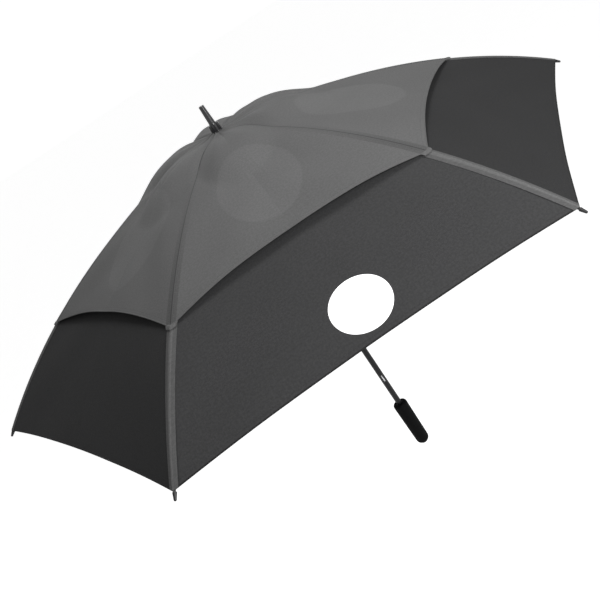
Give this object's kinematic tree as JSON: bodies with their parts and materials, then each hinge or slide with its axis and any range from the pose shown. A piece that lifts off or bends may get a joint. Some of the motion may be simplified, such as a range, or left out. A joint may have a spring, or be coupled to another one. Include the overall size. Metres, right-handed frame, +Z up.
{
  "type": "golf umbrella",
  "caption": "Large manual golf umbrella with a six-sided vented double canopy, folding ribs and stretchers on a sliding runner, straight shaft and foam grip.",
  "frame": {"origin": "middle of the flat foot of the handle", "axes": "+Z up the shaft to the ferrule, +X along one rib, so the widest span of the canopy lies along X"},
  "size_m": [1.4552, 1.2608, 0.9771],
  "materials": {
    "shaft_tube": "satin black enamel on steel tube",
    "handle_core": "moulded black nylon",
    "grip": "matt closed-cell black foam",
    "handle_end_cap": "moulded black plastic",
    "handle_collar": "moulded black plastic",
    "crown_notch": "moulded black nylon",
    "crown_pins": "plain steel wire",
    "crown_rivet": "plain steel",
    "canopy_washer": "black nylon washer",
    "top_collar": "glossy dark plastic",
    "ferrule": "glossy dark plastic",
    "stop_pin": "plain steel",
    "catch_pins": "plain steel",
    "runner": "moulded black nylon",
    "catch": "spring steel",
    "rib": "black pultruded glass-fibre rod",
    "rib_bracket": "black nylon saddle with steel rivet",
    "rib_tip": "dark moulded plastic",
    "rib_tape": "grey woven tape",
    "upper_canopy": "mid-grey plain woven polyester",
    "lower_canopy": "charcoal and black plain woven polyester",
    "stretcher": "black enamelled steel"
  },
  "bodies": {
    "shaft": {"shaft_tube": "shaft_tube", "handle_core": "handle_core", "grip": "grip", "handle_end_cap": "handle_end_cap", "handle_collar": "handle_collar", "crown_notch": "crown_notch", "crown_pins": "crown_pins", "crown_rivet": "crown_rivet", "canopy_washer": "canopy_washer", "top_collar": "top_collar", "ferrule": "ferrule", "stop_pin": "stop_pin", "catch_pins": "catch_pins"},
    "runner": {"runner": "runner"},
    "top_catch": {"top_catch": "catch"},
    "bottom_catch": {"bottom_catch": "catch"},
    "rib_1": {"rib_1": "rib", "rib_bracket_1": "rib_bracket", "rib_tip_1": "rib_tip", "rib_tape_1": "rib_tape", "upper_canopy_1": "upper_canopy", "lower_canopy_1": "lower_canopy"},
    "stretcher_1": {"stretcher_1": "stretcher"},
    "rib_2": {"rib_2": "rib", "rib_bracket_2": "rib_bracket", "rib_tip_2": "rib_tip", "rib_tape_2": "rib_tape", "upper_canopy_2": "upper_canopy", "lower_canopy_2": "lower_canopy"},
    "stretcher_2": {"stretcher_2": "stretcher"},
    "rib_3": {"rib_3": "rib", "rib_bracket_3": "rib_bracket", "rib_tip_3": "rib_tip", "rib_tape_3": "rib_tape", "upper_canopy_3": "upper_canopy", "lower_canopy_3": "lower_canopy"},
    "stretcher_3": {"stretcher_3": "stretcher"},
    "rib_4": {"rib_4": "rib", "rib_bracket_4": "rib_bracket", "rib_tip_4": "rib_tip", "rib_tape_4": "rib_tape", "upper_canopy_4": "upper_canopy", "lower_canopy_4": "lower_canopy"},
    "stretcher_4": {"stretcher_4": "stretcher"},
    "rib_5": {"rib_5": "rib", "rib_bracket_5": "rib_bracket", "rib_tip_5": "rib_tip", "rib_tape_5": "rib_tape", "upper_canopy_5": "upper_canopy", "lower_canopy_5": "lower_canopy"},
    "stretcher_5": {"stretcher_5": "stretcher"},
    "rib_6": {"rib_6": "rib", "rib_bracket_6": "rib_bracket", "rib_tip_6": "rib_tip", "rib_tape_6": "rib_tape", "upper_canopy_6": "upper_canopy", "lower_canopy_6": "lower_canopy"},
    "stretcher_6": {"stretcher_6": "stretcher"}
  },
  "joints": [
    {"name": "runner_slide", "type": "slide", "parent": "shaft", "child": "runner", "axis": [0, 0, -1], "range_m": [0, 0.52995]},
    {"name": "rib_fold_1", "type": "hinge", "parent": "shaft", "child": "rib_1", "pos_m": [0.012, 0, 0.91246], "axis": [0, 1, 0], "range_deg": [0, 66.71], "deforming": ["upper_canopy_1", "lower_canopy_1"]},
    {"name": "stretcher_fold_1", "type": "hinge", "parent": "rib_1", "child": "stretcher_1", "pos_m": [0.35759, 0, 0.82571], "axis": [0, 1, 0], "range_deg": [-133.42, 0]},
    {"name": "rib_fold_2", "type": "hinge", "parent": "shaft", "child": "rib_2", "pos_m": [0.006, 0.01039, 0.91246], "axis": [-0.866, 0.5, 0], "range_deg": [0, 66.71], "deforming": ["upper_canopy_2", "lower_canopy_2"]},
    {"name": "stretcher_fold_2", "type": "hinge", "parent": "rib_2", "child": "stretcher_2", "pos_m": [0.1788, 0.30968, 0.82571], "axis": [-0.866, 0.5, 0], "range_deg": [-133.42, 0]},
    {"name": "rib_fold_3", "type": "hinge", "parent": "shaft", "child": "rib_3", "pos_m": [-0.006, 0.01039, 0.91246], "axis": [-0.866, -0.5, 0], "range_deg": [0, 66.71], "deforming": ["upper_canopy_3", "lower_canopy_3"]},
    {"name": "stretcher_fold_3", "type": "hinge", "parent": "rib_3", "child": "stretcher_3", "pos_m": [-0.1788, 0.30968, 0.82571], "axis": [-0.866, -0.5, 0], "range_deg": [-133.42, 0]},
    {"name": "rib_fold_4", "type": "hinge", "parent": "shaft", "child": "rib_4", "pos_m": [-0.012, 0, 0.91246], "axis": [0, -1, 0], "range_deg": [0, 66.71], "deforming": ["upper_canopy_4", "lower_canopy_4"]},
    {"name": "stretcher_fold_4", "type": "hinge", "parent": "rib_4", "child": "stretcher_4", "pos_m": [-0.35759, 0, 0.82571], "axis": [0, -1, 0], "range_deg": [-133.42, 0]},
    {"name": "rib_fold_5", "type": "hinge", "parent": "shaft", "child": "rib_5", "pos_m": [-0.006, -0.01039, 0.91246], "axis": [0.866, -0.5, 0], "range_deg": [0, 66.71], "deforming": ["upper_canopy_5", "lower_canopy_5"]},
    {"name": "stretcher_fold_5", "type": "hinge", "parent": "rib_5", "child": "stretcher_5", "pos_m": [-0.1788, -0.30968, 0.82571], "axis": [0.866, -0.5, 0], "range_deg": [-133.42, 0]},
    {"name": "rib_fold_6", "type": "hinge", "parent": "shaft", "child": "rib_6", "pos_m": [0.006, -0.01039, 0.91246], "axis": [0.866, 0.5, 0], "range_deg": [0, 66.71], "deforming": ["upper_canopy_6", "lower_canopy_6"]},
    {"name": "stretcher_fold_6", "type": "hinge", "parent": "rib_6", "child": "stretcher_6", "pos_m": [0.1788, -0.30968, 0.82571], "axis": [0.866, 0.5, 0], "range_deg": [-133.42, 0]},
    {"name": "top_catch_press", "type": "hinge", "parent": "shaft", "child": "top_catch", "pos_m": [0, 0, 0.66565], "axis": [-1, 0, 0], "range_deg": [0, 6.5], "stiffness_Nm_per_rad": 0.4},
    {"name": "bottom_catch_press", "type": "hinge", "parent": "shaft", "child": "bottom_catch", "pos_m": [0, 0, 0.2413], "axis": [1, 0, 0], "range_deg": [0, 6.5], "stiffness_Nm_per_rad": 0.4}
  ],
  "couplings": [
    {"joint": "rib_fold_1", "follows": "runner_slide", "rad_per_m": 2.1969},
    {"joint": "stretcher_fold_1", "follows": "runner_slide", "rad_per_m": -4.3939},
    {"joint": "rib_fold_2", "follows": "runner_slide", "rad_per_m": 2.1969},
    {"joint": "stretcher_fold_2", "follows": "runner_slide", "rad_per_m": -4.3939},
    {"joint": "rib_fold_3", "follows": "runner_slide", "rad_per_m": 2.1969},
    {"joint": "stretcher_fold_3", "follows": "runner_slide", "rad_per_m": -4.3939},
    {"joint": "rib_fold_4", "follows": "runner_slide", "rad_per_m": 2.1969},
    {"joint": "stretcher_fold_4", "follows": "runner_slide", "rad_per_m": -4.3939},
    {"joint": "rib_fold_5", "follows": "runner_slide", "rad_per_m": 2.1969},
    {"joint": "stretcher_fold_5", "follows": "runner_slide", "rad_per_m": -4.3939},
    {"joint": "rib_fold_6", "follows": "runner_slide", "rad_per_m": 2.1969},
    {"joint": "stretcher_fold_6", "follows": "runner_slide", "rad_per_m": -4.3939}
  ]
}
